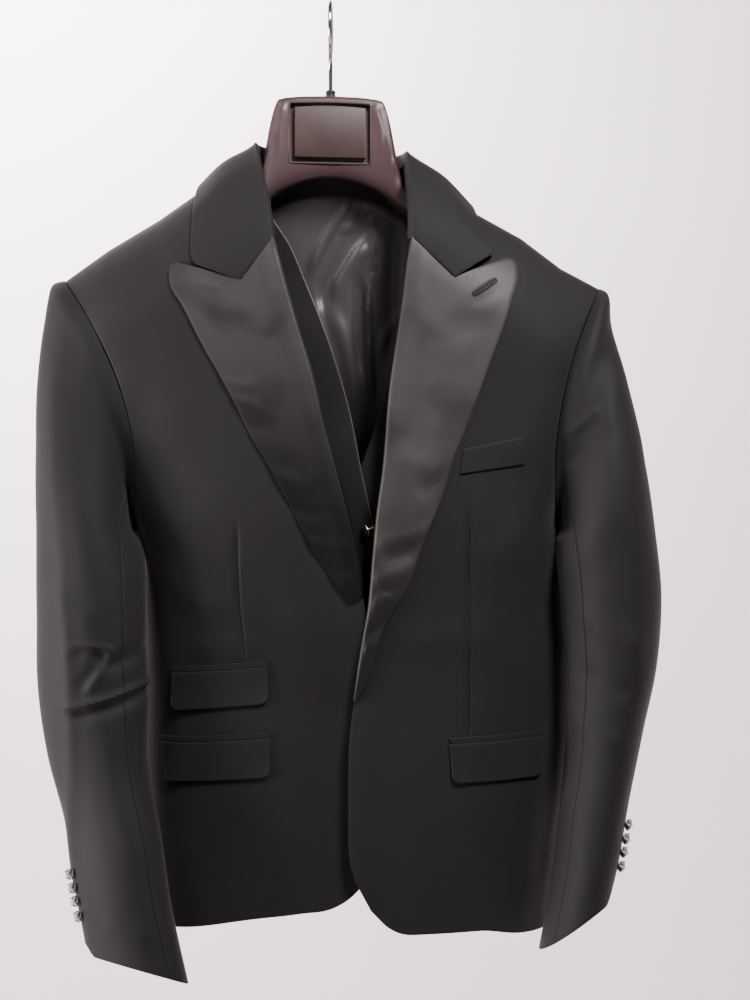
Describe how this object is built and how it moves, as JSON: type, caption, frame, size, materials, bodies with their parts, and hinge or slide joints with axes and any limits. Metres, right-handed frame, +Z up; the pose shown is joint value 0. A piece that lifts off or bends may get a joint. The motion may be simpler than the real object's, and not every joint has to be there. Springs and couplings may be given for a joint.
{
  "type": "three-piece suit on hanger",
  "caption": "Black dinner jacket with satin peak lapels over a waistcoat, trousers folded behind, hanging on a moulded plastic hanger by its wire hook.",
  "frame": {"origin": "the point inside the wire hook's loop that bears on the rail", "axes": "+Z up, -Y the front of the suit, +X towards the wearer's left"},
  "size_m": [0.573, 0.2459, 0.8831],
  "materials": {
    "jacket_wool": "black worsted wool, matt, fine close weave",
    "waistcoat_wool": "black worsted wool, matt, fine close weave",
    "trouser_wool": "black worsted wool, matt, fine close weave",
    "lapel_satin": "black-brown satin with a soft broad sheen",
    "lining_satin": "dark grey lining satin, smooth and creased",
    "hanger_plastic": "dark maroon-brown moulded plastic, glossy",
    "chrome": "bright plated steel",
    "gold_metal": "polished gold-coloured metal"
  },
  "bodies": {
    "root": {"breast_welt": "jacket_wool", "collar": "jacket_wool", "cuff_button_left_1": "chrome", "cuff_button_left_2": "chrome", "cuff_button_left_3": "chrome", "cuff_button_left_4": "chrome", "cuff_button_right_1": "chrome", "cuff_button_right_2": "chrome", "cuff_button_right_3": "chrome", "cuff_button_right_4": "chrome", "hanger_body": "hanger_plastic", "hook": "chrome", "hook_nut": "chrome", "jacket_back_left": "jacket_wool", "jacket_back_right": "jacket_wool", "jacket_front_left": "jacket_wool", "jacket_front_right": "jacket_wool", "label_plate": "hanger_plastic", "lapel_left": "lapel_satin", "lapel_right": "lapel_satin", "pocket_flap_left_hip": "jacket_wool", "pocket_flap_right_hip": "jacket_wool", "pocket_flap_ticket": "jacket_wool", "pocket_jet_left_hip": "jacket_wool", "pocket_jet_right_hip": "jacket_wool", "pocket_jet_ticket": "jacket_wool", "trouser_bar": "chrome", "trousers_legs": "trouser_wool", "trousers_waistband": "trouser_wool", "under_sleeve_left": "jacket_wool", "under_sleeve_right": "jacket_wool", "upper_sleeve_left": "jacket_wool", "upper_sleeve_right": "jacket_wool", "waistcoat_back": "lining_satin", "waistcoat_button_1": "gold_metal", "waistcoat_button_2": "gold_metal", "waistcoat_button_3": "gold_metal", "waistcoat_button_4": "gold_metal", "waistcoat_front_left": "waistcoat_wool", "waistcoat_front_right": "waistcoat_wool"}
  },
  "joints": []
}
